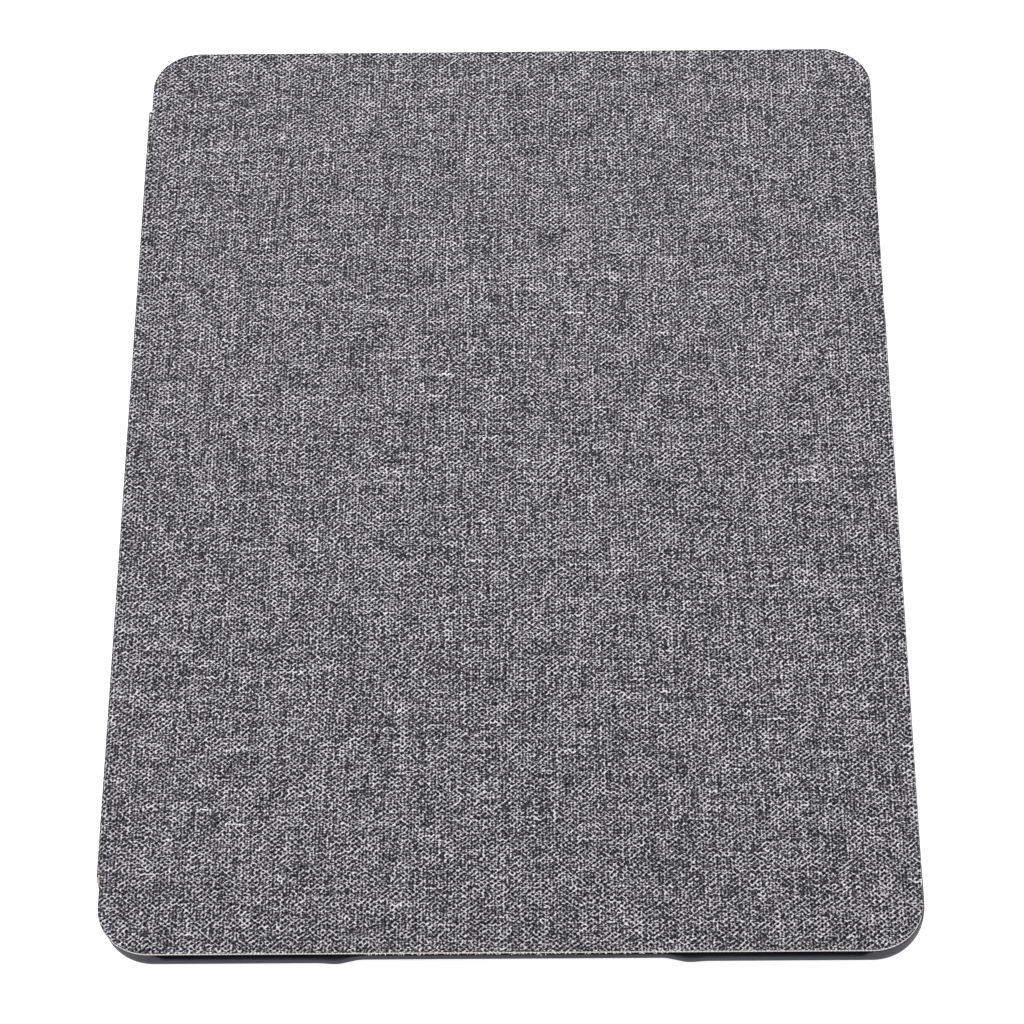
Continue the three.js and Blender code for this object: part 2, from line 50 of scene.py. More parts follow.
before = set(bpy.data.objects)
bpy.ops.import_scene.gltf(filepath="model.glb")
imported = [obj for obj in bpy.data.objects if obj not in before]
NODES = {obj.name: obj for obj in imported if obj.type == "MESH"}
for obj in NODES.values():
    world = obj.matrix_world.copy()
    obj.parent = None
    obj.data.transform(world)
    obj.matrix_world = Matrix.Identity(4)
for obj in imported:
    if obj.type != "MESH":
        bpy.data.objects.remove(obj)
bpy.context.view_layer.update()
MM = 0.001
# a coordinate this near to another is the same one
SAME = 1e-6


def corners(name):
    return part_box(name)


# ---- Sizes that stay as they are ----

# the camera hole's middle, from the shell's far corner, and its radius
CAMERA_FROM_SIDE = 17 * MM
CAMERA_FROM_END = 17.25 * MM
CAMERA_RADIUS = 6 * MM
BACK_CORNER = 13 * MM
# The spine's strips of fabric start this far inside the panels and turn over the spine with this radius.
FOLD_START = 6 * MM
STRIP_ROUND = 1 * MM
# the back's weave is read from another place than the cover's
BACK_WEAVE_SHIFT = 0.5


# ---- Settings that a user would change ----


def length_setting(name, description, default):
    return bpy.props.FloatProperty(name=name, description=description, default=default * MM, unit="LENGTH")


def colour_setting(name, default):
    return bpy.props.StringProperty(name=name, description="sRGB hex", default=default)


def angle_setting(name, degrees):
    return bpy.props.FloatProperty(name=name, default=math.radians(degrees), subtype="ANGLE")


class CaseSizes(bpy.types.PropertyGroup):
    warp_pitch: length_setting("Warp spacing", "Distance between threads along the spine", 0.74)
    weft_pitch: length_setting("Weft spacing", "Distance between threads across the case", 0.62)
    shell_corner: length_setting("Shell corner", "Corner radius of the shell in plan", 11.5)
    shell_round: length_setting("Shell edge", "Radius of the shell's lower edge", 6.75)
    shell_wall: length_setting("Shell wall", "Thickness of the shell's wall", 1.5)
    shell_floor: length_setting("Shell floor", "Thickness of the shell's floor", 1.2)
    fray_threads: bpy.props.IntProperty(
        name="Loose threads", description="Thread ends that stand out of the cut edge", default=110, min=0
    )


class CaseColours(bpy.types.PropertyGroup):
    # the weave's darkest colour is its dark threads and also painted shade in the gaps between threads; its
    # lightest is its light threads and also painted highlights on the raised floats
    thread_dark: colour_setting("Dark thread", "#020203")
    thread_mid: colour_setting("Grey thread", "#434146")
    thread_light: colour_setting("Light thread", "#dedce1")
    cut_edge: colour_setting("Cut edge", "#fffaf2")
    shell: colour_setting("Shell", "#272736")
    lining: colour_setting("Lining", "#3d3e44")
    keyboard: colour_setting("Keyboard", "#33353c")
    keycap: colour_setting("Key cap", "#1c1d21")
    legend: colour_setting("Key legend", "#c9ccd2")


def sizes():
    return bpy.context.scene.case_sizes


def colours():
    return bpy.context.scene.case_colours


# ---- Nodes and materials ----


def linear(hex_colour):
    """An sRGB hex colour as linear red, green, blue and alpha."""
    parts = [int(hex_colour[i : i + 2], 16) / 255 for i in (1, 3, 5)]
    return tuple(p / 12.92 if p <= 0.04045 else ((p + 0.055) / 1.055) ** 2.4 for p in parts) + (1.0,)


def grey(value):
    return (value, value, value, 1.0)


def shade(colour, factor):
    return tuple(c * factor for c in colour[:3]) + (1.0,)


def node(tree, kind, *inputs, out=0, stops=(), **named):
    """Adds a node and gives one of its outputs. A value or a link goes to an input by its place or by its name,
    which has a capital letter. Other names are the node's settings, and stops are a ramp's places and colours."""
    made = tree.nodes.new("ShaderNode" + kind)
    links = dict(enumerate(inputs))
    for name, value in named.items():
        if name[0].isupper():
            links[name.replace("_", " ")] = value
        else:
            setattr(made, name, value)
    for place, value in links.items():
        if isinstance(value, bpy.types.NodeSocket):
            tree.links.new(value, made.inputs[place])
        else:
            made.inputs[place].default_value = value
    for k, (place, colour) in enumerate(stops):
        elements = made.color_ramp.elements
        element = elements[k] if k < len(elements) else elements.new(place)
        element.position, element.color = place, colour
    return made.outputs[out]


def material(name):
    """A new material with an empty tree, and the place on the object that its patterns read."""
    made = bpy.data.materials.new(name)
    made.use_nodes = True
    tree = made.node_tree
    tree.nodes.clear()
    return made, tree, node(tree, "TexCoord", out="Object")


def surface(made, **looks):
    """Ends a material with its principled shader."""
    tree = made.node_tree
    output = tree.nodes.new("ShaderNodeOutputMaterial")
    tree.links.new(node(tree, "BsdfPrincipled", **looks), output.inputs["Surface"])
    return made


def woven_linen():
    """Melange polyester woven plain: uneven light and dark threads that go over and under each other.
    It gives the eye a fine salt-and-pepper grid with longer pale and dark streaks where a thread is thick, with
    painted shade in the gaps between threads and painted highlights on the raised floats."""
    made, tree, _ = material("woven_melange_fabric")
    uv = node(tree, "UVMap", uv_map="weave")

    def wave(value, period=2.0):
        turns = node(tree, "Math", value, 2 * math.pi / period, operation="MULTIPLY")
        return node(tree, "Math", turns, operation="COSINE")

    def slub(number, run, seed):
        """How much lighter or darker a thread is than the others, drifting along it as uneven yarn does."""
        number = node(tree, "Math", number, 3.173, operation="MULTIPLY")
        run = node(tree, "Math", run, 0.07, operation="MULTIPLY")
        place = node(tree, "CombineXYZ", number, run, seed)
        drift = node(tree, "TexNoise", Vector=place, Scale=1.0, Detail=2.0, out="Fac")
        return node(tree, "Math", drift, 0.5, operation="SUBTRACT")

    moved = uv
    # the threads wander slowly, and each one wavers a little from pick to pick
    for scale, reach in ((160.0, 0.5 * MM), (620.0, 0.55 * MM)):
        drift = node(tree, "TexNoise", Vector=uv, Scale=scale, Detail=1.0, out="Color")
        drift = node(tree, "VectorMath", drift, (0.5, 0.5, 0.5), operation="SUBTRACT")
        drift = node(tree, "VectorMath", drift, (0.6 * reach, 1.5 * reach, 0.0), operation="MULTIPLY")
        moved = node(tree, "VectorMath", moved, drift, operation="ADD")
    density = (1 / sizes().warp_pitch, 1 / sizes().weft_pitch, 1.0)
    threads = node(tree, "VectorMath", moved, density, operation="MULTIPLY")
    across, along = node(tree, "SeparateXYZ", threads, out="X"), node(tree, "SeparateXYZ", threads, out="Y")
    column, row = node(tree, "Math", across, operation="FLOOR"), node(tree, "Math", along, operation="FLOOR")
    # The yarns' twist leans each float, so one diagonal of the chequered pattern is stronger than the other.
    strong = wave(node(tree, "Math", across, along, operation="SUBTRACT"))
    weak = wave(node(tree, "Math", across, along, operation="ADD"))
    leaning = node(tree, "Math", strong, 0.49, operation="MULTIPLY")
    chequer = node(tree, "Math", weak, 0.41, leaning, operation="MULTIPLY_ADD")
    # each crossing stands out more or less than its neighbours
    cell = node(tree, "CombineXYZ", column, row, 3.0)
    speck = node(tree, "TexWhiteNoise", Vector=cell, noise_dimensions="3D", out="Value")
    speck = node(tree, "Math", speck, 2.3, -0.3, operation="MULTIPLY_ADD")
    height = node(tree, "Math", chequer, speck, operation="MULTIPLY")
    # fibres that stand up and yarn that bulges break the pattern between neighbouring threads
    bulge = node(tree, "TexNoise", Vector=threads, Scale=1.15, Detail=1.0, out="Fac")
    bulge = node(tree, "Math", bulge, 0.5, operation="SUBTRACT")
    height = node(tree, "Math", bulge, 3.5, height, operation="MULTIPLY_ADD")
    weft_slub = slub(row, across, 47.0)
    slubs = node(tree, "Math", slub(column, along, 11.0), weft_slub, operation="ADD")
    # here and there one pale thread lies on top for a centimetre
    pale = node(tree, "Math", weft_slub, 0.19, operation="SUBTRACT")
    pale = node(tree, "Math", pale, 0.0, operation="MAXIMUM")
    # The weave's relief also sets its colour: raised floats and bulges are painted lighter and low places darker,
    # painted light and shade laid over the yarns' own uneven colours.
    tone = node(tree, "Math", height, 0.55, 0.435, operation="MULTIPLY_ADD")
    # the two last parts paint shade into the gaps between threads
    for part, share in ((slubs, 0.6), (pale, 3.2), (wave(across, 1.0), -0.16), (wave(along, 1.0), -0.11)):
        tone = node(tree, "Math", part, share, tone, operation="MULTIPLY_ADD")
    c = colours()
    # the ramp runs from dark yarn and painted shade between threads, through grey yarn, to light yarn and painted
    # highlights on the raised floats
    yarns = ((0.03, c.thread_dark), (0.5, c.thread_mid), (1.0, c.thread_light))
    yarn = node(tree, "ValToRGB", tone, stops=[(place, linear(colour)) for place, colour in yarns])
    flecks = node(tree, "TexNoise", Vector=uv, Scale=9000.0, Detail=2.0, out="Fac")
    flecks = node(tree, "ValToRGB", flecks, stops=[(0.3, grey(0.75)), (0.7, grey(1.15))])
    return surface(
        made,
        Base_Color=node(tree, "VectorMath", yarn, flecks, operation="MULTIPLY"),
        Roughness=0.85,
        Sheen_Weight=0.08,
        Sheen_Roughness=0.5,
        Specular_IOR_Level=0.15,
        Normal=node(tree, "Bump", Height=height, Distance=0.14 * MM, Strength=0.9),
    )


def cut_threads():
    """The cut side of the fabric, where the light cores of the threads show as a pale dashed line."""
    made, tree, place = material("cut_thread_edge")
    scale = 0.275 / sizes().warp_pitch
    wave = node(
        tree, "TexWave", Vector=place, Scale=scale, Distortion=1.5, Detail=2.0, bands_direction="X", out="Fac"
    )
    colour = node(tree, "ValToRGB", wave, stops=[(0.0, grey(0.5)), (0.3, linear(colours().cut_edge))])
    ridges = node(tree, "Bump", Height=wave, Distance=0.1 * MM, Strength=1.0)
    return surface(made, Base_Color=colour, Roughness=0.95, Specular_IOR_Level=0.2, Normal=ridges)


def microfibre():
    """Brushed polyester microfibre: a soft dull pile with faint brushed patches."""
    made, tree, place = material("brushed_microfibre")
    pile = node(tree, "TexNoise", Vector=place, Scale=5200.0, Detail=2.0, out="Fac")
    drawn = node(tree, "Mapping", Vector=place, Scale=(1.0, 0.35, 1.0))
    patches = node(tree, "TexNoise", Vector=drawn, Scale=70.0, Detail=4.0, out="Fac")
    base = linear(colours().lining)
    colour = node(tree, "ValToRGB", patches, stops=[(0.35, base), (0.75, shade(base, 1.154))])
    # the pile's low places are painted darker and its high ones lighter, following its bump: painted shade in the
    # pile
    depth = node(tree, "ValToRGB", pile, stops=[(0.3, grey(0.7)), (0.7, grey(1.1))])
    return surface(
        made,
        Base_Color=node(tree, "VectorMath", colour, depth, operation="MULTIPLY"),
        Roughness=0.95,
        Sheen_Weight=0.5,
        Sheen_Roughness=0.4,
        Specular_IOR_Level=0.2,
        Normal=node(tree, "Bump", Height=pile, Distance=0.06 * MM, Strength=0.7),
    )


def moulded(name, hex_colour, roughness, grain_mm, grain_depth, coat=0.0, specular=0.5):
    """Injection-moulded plastic: an even colour with a fine spark-eroded grain and slight gloss changes."""
    made, tree, place = material(name)
    grain = node(tree, "TexNoise", Vector=place, Scale=1.0 / (grain_mm * MM), Detail=2.0, out="Fac")
    haze = node(tree, "TexNoise", Vector=place, Scale=55.0, Detail=3.0, out="Fac")
    base = linear(hex_colour)
    low, high = roughness - 0.04, roughness + 0.05
    return surface(
        made,
        Base_Color=node(tree, "ValToRGB", grain, stops=[(0.0, shade(base, 0.95)), (1.0, shade(base, 1.05))]),
        Roughness=node(tree, "MapRange", Value=haze, From_Min=0.3, From_Max=0.7, To_Min=low, To_Max=high),
        IOR=1.5,
        Specular_IOR_Level=specular,
        Coat_Weight=coat,
        Coat_Roughness=0.18,
        Normal=node(tree, "Bump", Height=grain, Distance=grain_depth * MM, Strength=0.6),
    )


def plain_metal(name, hex_colour, roughness):
    """Rolled or plated metal: a bright surface with fine straight marks."""
    made, tree, place = material(name)
    drawn = node(tree, "Mapping", Vector=place, Scale=(1.0, 40.0, 40.0))
    marks = node(tree, "TexNoise", Vector=drawn, Scale=90.0, Detail=3.0, out="Fac")
    gloss = node(tree, "MapRange", Value=marks, To_Min=roughness - 0.08, To_Max=roughness + 0.12)
    ridges = node(tree, "Bump", Height=marks, Distance=0.01 * MM, Strength=0.4)
    return surface(made, Base_Color=linear(hex_colour), Metallic=1.0, Roughness=gloss, Normal=ridges)


def circuit_board():
    """Glass-epoxy laminate under solder mask: glossy green with fine copper lines in a darker green, on a
    slightly uneven surface.
    """
    made, tree, place = material("solder_mask_laminate")
    greens = {"Color1": linear("#1f5a3c"), "Color2": linear("#2c6b4a"), "Mortar": linear("#174a31")}
    lines = node(tree, "TexBrick", Vector=place, Scale=420.0, Mortar_Size=0.03, out="Color", **greens)
    uneven = node(tree, "TexNoise", Vector=place, Scale=900.0, Detail=2.0, out="Fac")
    ridges = node(tree, "Bump", Height=uneven, Distance=0.03 * MM, Strength=0.4)
    return surface(made, Base_Color=lines, Roughness=0.35, IOR=1.5, Normal=ridges)


def film():
    """Polyester film: smooth and a little milky, with printed tracks as faint lines."""
    made, tree, place = material("milky_polyester_film")
    tracks = node(tree, "TexWave", Vector=place, Scale=160.0, Distortion=2.0, out="Fac")
    base = linear("#cfd2cc")
    colour = node(tree, "ValToRGB", tracks, stops=[(0.0, shade(base, 0.8)), (1.0, base)])
    ridges = node(tree, "Bump", Height=tracks, Distance=0.01 * MM, Strength=0.3)
    return surface(made, Base_Color=colour, Roughness=0.35, IOR=1.5, Normal=ridges)


def rubber():
    """Silicone rubber: dark, matt, with a faint bloom."""
    made, tree, place = material("matt_silicone_rubber")
    bloom = node(tree, "TexNoise", Vector=place, Scale=400.0, Detail=3.0, out="Fac")
    colour = node(tree, "ValToRGB", bloom, stops=[(0.3, linear("#17181a")), (0.8, linear("#2a2b2e"))])
    dust = node(tree, "Bump", Height=bloom, Distance=0.02 * MM, Strength=0.5)
    return surface(made, Base_Color=colour, Roughness=0.8, Specular_IOR_Level=0.35, Normal=dust)


def lens_plastic():
    """Clear polycarbonate light guide: polished, slightly milky."""
    made, tree, place = material("clear_polycarbonate")
    milk = node(tree, "TexNoise", Vector=place, Scale=700.0, Detail=2.0, out="Fac")
    colour = node(tree, "ValToRGB", milk, stops=[(0.0, linear("#cfdde4")), (1.0, linear("#e6eef2"))])
    return surface(made, Base_Color=colour, Roughness=0.08, IOR=1.58, Transmission_Weight=0.6)


def printed_legend():
    """Pad-printed ink on the key caps: thin, light and matt."""
    made, tree, place = material("pad_printed_ink")
    ink = node(tree, "TexNoise", Vector=place, Scale=6000.0, Detail=2.0, out="Fac")
    base = linear(colours().legend)
    colour = node(tree, "ValToRGB", ink, stops=[(0.0, shade(base, 0.85)), (1.0, base)])
    return surface(made, Base_Color=colour, Roughness=0.6)


MATERIALS = {}


def make_materials():
    c = colours()
    MATERIALS.update(
        weave=woven_linen(),
        cut=cut_threads(),
        lining=microfibre(),
        # polycarbonate with a satin tool finish: dark slate, with soft broad highlights on its rounded edge
        shell=moulded("satin_polycarbonate", c.shell, 0.36, 0.25, 0.006, coat=0.05, specular=0.45),
        # ABS deck with a spark-eroded texture: duller than the shell
        deck=moulded("textured_abs", c.keyboard, 0.55, 0.35, 0.02),
        # matt ABS key caps, worn slightly smoother than the deck
        key=moulded("matt_abs_keycap", c.keycap, 0.5, 0.2, 0.01),
        legend=printed_legend(),
        steel=plain_metal("rolled_steel", "#a3a5a9", 0.35),
        nickel=plain_metal("nickel_plate", "#c4c3bd", 0.22),
        foil=plain_metal("aluminium_laminate_foil", "#b9bbbf", 0.4),
        circuit=circuit_board(),
        film=film(),
        rubber=rubber(),
        lens=lens_plastic(),
    )


# ---- Modelling helpers ----


def deselect():
    if bpy.context.object and bpy.context.object.mode != "OBJECT":
        bpy.ops.object.mode_set(mode="OBJECT")
    bpy.ops.object.select_all(action="DESELECT")


def only(obj):
    deselect()
    obj.select_set(True)
    bpy.context.view_layer.objects.active = obj
    return obj


def settle(obj, name):
    """Names a piece and puts its place into its mesh."""
    only(obj)
    bpy.ops.object.transform_apply(location=True, rotation=True, scale=True)
    obj.name = name
    obj.data.name = name
    return obj


def from_mesh(name, vertices, faces):
    mesh = bpy.data.meshes.new(name)
    mesh.from_pydata(vertices, [], faces)
    mesh.update()
    obj = bpy.data.objects.new(name, mesh)
    bpy.context.scene.collection.objects.link(obj)
    return obj


def block(name, low, high):
    low, high = Vector(low), Vector(high)
    deselect()
    bpy.ops.mesh.primitive_cube_add(size=1, location=(low + high) / 2, scale=high - low)
    return settle(bpy.context.object, name)


def cylinder(name, place, radius, height, vertices):
    deselect()
    bpy.ops.mesh.primitive_cylinder_add(vertices=vertices, radius=radius, depth=height, location=place)
    return settle(bpy.context.object, name)


def join(objects, name):
    deselect()
    for obj in objects:
        obj.select_set(True)
    bpy.context.view_layer.objects.active = objects[0]
    bpy.ops.object.join()
    return settle(bpy.context.object, name)


def edit(obj, select_type):
    """Opens a piece's mesh with nothing selected."""
    only(obj)
    bpy.ops.object.mode_set(mode="EDIT")
    bpy.ops.mesh.select_mode(type=select_type)
    bpy.ops.mesh.select_all(action="DESELECT")
    return bmesh.from_edit_mesh(obj.data)


def edit_bevel(obj, chosen, offset, segments):
    """Bevels the edges for which chosen(start, end) is true."""
    mesh = edit(obj, "EDGE")
    for edge in mesh.edges:
        edge.select = chosen(edge.verts[0].co, edge.verts[1].co)
    mesh.select_flush_mode()
    bmesh.update_edit_mesh(obj.data)
    bpy.ops.mesh.bevel(offset=offset, segments=segments, profile=0.5, affect="EDGES")
    bpy.ops.object.mode_set(mode="OBJECT")


def upright(a, b):
    return abs(a.z - b.z) > SAME and (a - b).to_2d().length < SAME / 10


def level_at(z):
    return lambda a, b: abs(a.z - z) < SAME and abs(b.z - z) < SAME


def rounded_panel(name, low, high, radius, top, bottom=0.0, segments=12, soft=3):
    """A flat panel with round corners in plan and softened upper and lower edges."""
    panel = block(name, low, high)
    edit_bevel(panel, upright, radius, segments)
    if top:
        edit_bevel(panel, level_at(high[2]), top, soft)
    if bottom:
        edit_bevel(panel, level_at(low[2]), bottom, soft)
    return panel


def smooth(obj, degrees=35):
    only(obj)
    bpy.ops.object.shade_smooth_by_angle(angle=math.radians(degrees))


def cut(obj, cutter, many=False):
    """Cuts one piece with another, which may hold many bodies, and removes the cutter."""
    only(obj)
    made = obj.modifiers.new("Cut", "BOOLEAN")
    made.operation = "DIFFERENCE"
    made.solver = "EXACT"
    made.use_self = many
    made.object = cutter
    bpy.ops.object.modifier_apply(modifier=made.name)
    bpy.data.objects.remove(cutter)


def paint(obj, *names):
    obj.data.materials.clear()
    for name in names:
        obj.data.materials.append(MATERIALS[name])


def lay_weave(obj, place=lambda v: (v.x, v.y)):
    """A UV map in metres, so that threads keep their size on every piece of fabric."""
    layer = obj.data.uv_layers.new(name="weave")
    for loop in obj.data.loops:
        layer.data[loop.index].uv = place(obj.data.vertices[loop.vertex_index].co)


def add_piece(obj, body, replaces=()):
    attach(obj, body)
    if replaces:
        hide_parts(*replaces)


def finish(obj, look, degrees, body, replaces=()):
    paint(obj, look)
    smooth(obj, degrees)
    add_piece(obj, body, replaces)


# ---- The woven skin ----



def fold_frame():
    """Where the spine's strip of fabric runs: its length, its outer face, and the two panels' levels."""
    spine_low, spine_high = corners("spine_fabric")
    cover_low, cover_high = corners("front_fabric")
    back_low, back_high = corners("back_fabric")
    return {
        "y0": spine_low.y,
        "y1": spine_high.y,
        "x": spine_low.x,
        "top": cover_high.z,
        "bottom": back_low.z,
        "thick": cover_high.z - cover_low.z,
        "reach": cover_low.x + FOLD_START,
    }


def colour_cloth(cloth, inside_up):
    """Weave on the outer face, microfibre on the inner one and the pale cut threads on the sides."""
    paint(cloth, "weave", "cut", "lining")
    inside = 1 if inside_up else -1
    seam = fold_frame()["reach"]
    for face in cloth.data.polygons:
        if abs(face.normal.z) < 0.5 and abs(face.center.x - seam) > SAME:
            face.material_index = 1
        elif face.normal.z * inside > 0.5:
            face.material_index = 2


def panel_cloth(name, node_name, outer_up):
    """One panel's fabric, open at the spine where the folding strip takes over."""
    low, high = corners(node_name)
    f = fold_frame()
    soft = 0.09 * MM
    radius, top, bottom = (sizes().shell_corner, soft, 0) if outer_up else (BACK_CORNER, 0, soft)
    cloth = rounded_panel(name, low, high, radius, top, bottom, segments=24, soft=2)
    cut(cloth, block("cutter", (low.x - MM, f["y0"], low.z - MM), (f["reach"], f["y1"], high.z + MM)))
    return cloth


class CASE_OT_cover_fabric(bpy.types.Operator):
    """Build the front cover's fabric with its pale cut edge"""

    bl_idname = "case.cover_fabric"
    bl_label = "Front fabric"

    def execute(self, context):
        cloth = panel_cloth("front_cloth", "front_fabric", True)
        lay_weave(cloth)
        colour_cloth(cloth, False)
        smooth(cloth)
        add_piece(cloth, "cover", ["front_fabric"])
        return {"FINISHED"}


class CASE_OT_back_fabric(bpy.types.Operator):
    """Build the back panel's fabric with its camera hole and the pressed line of the stand fold"""

    bl_idname = "case.back_fabric"
    bl_label = "Back fabric"

    def execute(self, context):
        cloth = panel_cloth("back_cloth", "back_fabric", False)
        low, high = corners("back_fabric")
        hole = camera_hole()
        cut(cloth, tube_cutter(hole, low.z - MM, high.z + MM))
        fold_x = (corners("back_board_stand")[1].x + corners("back_board_shell")[0].x) / 2
        half_score, from_fold = 0.22 * MM, 1.3 * MM
        for side in (-1, 1):
            start, end = (-half_score, low.y - MM, -half_score), (half_score, high.y + MM, half_score)
            score = block("score", start, end)
            score.rotation_euler.y = math.pi / 4
            score.location = (fold_x + side * from_fold, 0, low.z)
            cut(cloth, settle(score, "score"))
        lay_weave(cloth, lambda v: (v.x, BACK_WEAVE_SHIFT - v.y))
        colour_cloth(cloth, True)
        smooth(cloth)
        add_piece(cloth, "back", ["back_fabric"])
        return {"FINISHED"}


def camera_hole():
    """The middle of the camera hole in plan and its radius."""
    edge = corners("tablet_shell")[1]
    return (edge.x - CAMERA_FROM_SIDE, edge.y - CAMERA_FROM_END, CAMERA_RADIUS)


def tube_cutter(hole, z0, z1):
    x, y, radius = hole
    return cylinder("cutter", (x, y, (z0 + z1) / 2), radius, z1 - z0, 64)


def strip(name, path, thick, y0, y1, steps):
    """A strip of cloth whose outer face follows a path of (x, z) points, with the thickness on its right."""
    normals = []
    for i, (x, z) in enumerate(path):
        a, b = path[max(0, i - 1)], path[min(len(path) - 1, i + 1)]
        along = Vector((b[0] - a[0], b[1] - a[1])).normalized()
        normals.append((-along.y, along.x))
    vertices, faces = [], []
    for j in range(steps + 1):
        y = y0 + (y1 - y0) * j / steps
        for k in (0, 1):
            for (x, z), (nx, nz) in zip(path, normals):
                vertices.append((x + nx * thick * k, y, z + nz * thick * k))
    n = len(path)
    for j in range(steps):
        a, b = j * 2 * n, (j + 1) * 2 * n
        for i in range(n - 1):
            faces.append((a + i, a + i + 1, b + i + 1, b + i))
            faces.append((a + n + i, b + n + i, b + n + i + 1, a + n + i + 1))
        faces.append((a, b, b + n, a + n))
        faces.append((a + n - 1, a + 2 * n - 1, b + 2 * n - 1, b + n - 1))
    for j in (0, steps):
        a = j * 2 * n
        for i in range(n - 1):
            quad = (a + i, a + n + i, a + n + i + 1, a + i + 1)
            faces.append(quad if j == 0 else tuple(reversed(quad)))
    obj = from_mesh(name, vertices, faces)
    lengths = [0.0]
    for (x0, z0), (x1, z1) in zip(path, path[1:]):
        lengths.append(lengths[-1] + math.hypot(x1 - x0, z1 - z0))
    return obj, lengths


class CASE_OT_fold_fabric(bpy.types.Operator):
    """Build the two halves of the fabric strip that turns over the spine"""

    bl_idname = "case.fold_fabric"
    bl_label = "Spine fabric"

    def execute(self, context):
        f = fold_frame()
        middle = (f["top"] + f["bottom"]) / 2
        r = STRIP_ROUND
        flat_steps, turn_steps, side_steps, long_steps = 4, 10, 6, 24
        for name, other, level, sign in (
            ("cover_fold_cloth", "cover", f["top"], 1),
            ("back_fold_cloth", "back", f["bottom"], -1),
        ):
            run = (f["x"] + r - f["reach"]) / flat_steps
            flat = [(f["reach"] + run * i, level) for i in range(flat_steps)]
            centre = (f["x"] + r, level - sign * r)
            arc = [
                (centre[0] - r * math.sin(a), centre[1] + sign * r * math.cos(a))
                for a in (math.pi / 2 * i / turn_steps for i in range(turn_steps + 1))
            ]
            drop = (middle - centre[1]) / side_steps
            down = [(f["x"], centre[1] + drop * i) for i in range(1, side_steps + 1)]
            path = flat + arc + down
            if sign < 0:
                path = path[::-1]
            cloth, lengths = strip(name, path, f["thick"], f["y0"], f["y1"], long_steps)
            n = len(path)
            layer = cloth.data.uv_layers.new(name="weave")
            for loop in cloth.data.loops:
                u = lengths[loop.vertex_index % n]
                y = cloth.data.vertices[loop.vertex_index].co.y
                if sign < 0:
                    u, y = lengths[-1] - u, BACK_WEAVE_SHIFT - y
                layer.data[loop.index].uv = (f["reach"] - u, y)
            paint(cloth, "weave", "cut", "lining")
            for face in cloth.data.polygons:
                inner = [(v // n) % 2 for v in face.vertices]
                side = abs(face.normal.y) > 0.5
                face.material_index = 1 if side else 2 if all(inner) else 0
            smooth(cloth, 50)
            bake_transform(cloth)
            if sign > 0:
                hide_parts("spine_fabric")
        return {"FINISHED"}


class CASE_OT_loose_threads(bpy.types.Operator):
    """Build the short thread ends that stand out of the near cut edge"""

    bl_idname = "case.loose_threads"
    bl_label = "Loose threads"

    # The frayed stretch, and the few long loops in it, in mm along the edge and out of it.
    frayed = (-31, 35)
    short_size = (0.15, 0.5)
    long_loops = 4
    long_stretch = (6.2, 8.2)
    long_size = (0.75, 1.15)

    def execute(self, context):
        low, high = corners("front_fabric")
        rng = random.Random(41)
        curve = bpy.data.curves.new("cut_edge_threads", "CURVE")
        curve.dimensions = "3D"
        curve.bevel_depth = 0.07 * MM
        curve.bevel_resolution = 2
        for i in range(sizes().fray_threads):
            x = rng.uniform(*self.frayed) * MM
            size = rng.uniform(*self.short_size) * MM
            if i < self.long_loops:
                x, size = rng.uniform(*self.long_stretch) * MM, rng.uniform(*self.long_size) * MM
            z = rng.uniform(low.z + 0.06 * MM, high.z - 0.1 * MM)
            lean = rng.uniform(-0.8, 0.8) * size
            spline = curve.splines.new("NURBS")
            points = [
                (x, low.y + 0.1 * MM, z),
                (x + 0.3 * lean, low.y - 0.12 * MM, z + 0.02 * MM),
                (x + lean, low.y - 0.22 * MM, z - size * 0.6),
                (x + lean * 1.2, low.y - 0.16 * MM, z - size),
            ]
            spline.points.add(len(points) - 1)
            for point, co in zip(spline.points, points):
                point.co = (*co, 1)
            spline.use_endpoint_u = True
            spline.order_u = 3
        threads = bpy.data.objects.new("cut_edge_threads", curve)
        context.scene.collection.objects.link(threads)
        only(threads)
        bpy.ops.object.convert(target="MESH")
        finish(threads, "cut", 80, "cover")
        return {"FINISHED"}


# ---- Panels and linings ----


def pressed_border(obj, z, inset, width, depth):
    """A heat-pressed line that runs round a flat face, inset from its edge."""
    mesh = edit(obj, "FACE")
    level = [face for face in mesh.faces if abs(face.calc_center_median().z - z) < SAME]
    flat = [face for face in level if abs(face.normal.z) > 0.9]
    max(flat, key=lambda face: face.calc_area()).select = True
    bmesh.update_edit_mesh(obj.data)
    bpy.ops.mesh.inset(thickness=inset, depth=0)
    bpy.ops.mesh.inset(thickness=width / 2, depth=-depth)
    bpy.ops.mesh.inset(thickness=width / 2, depth=depth)
    bpy.ops.object.mode_set(mode="OBJECT")


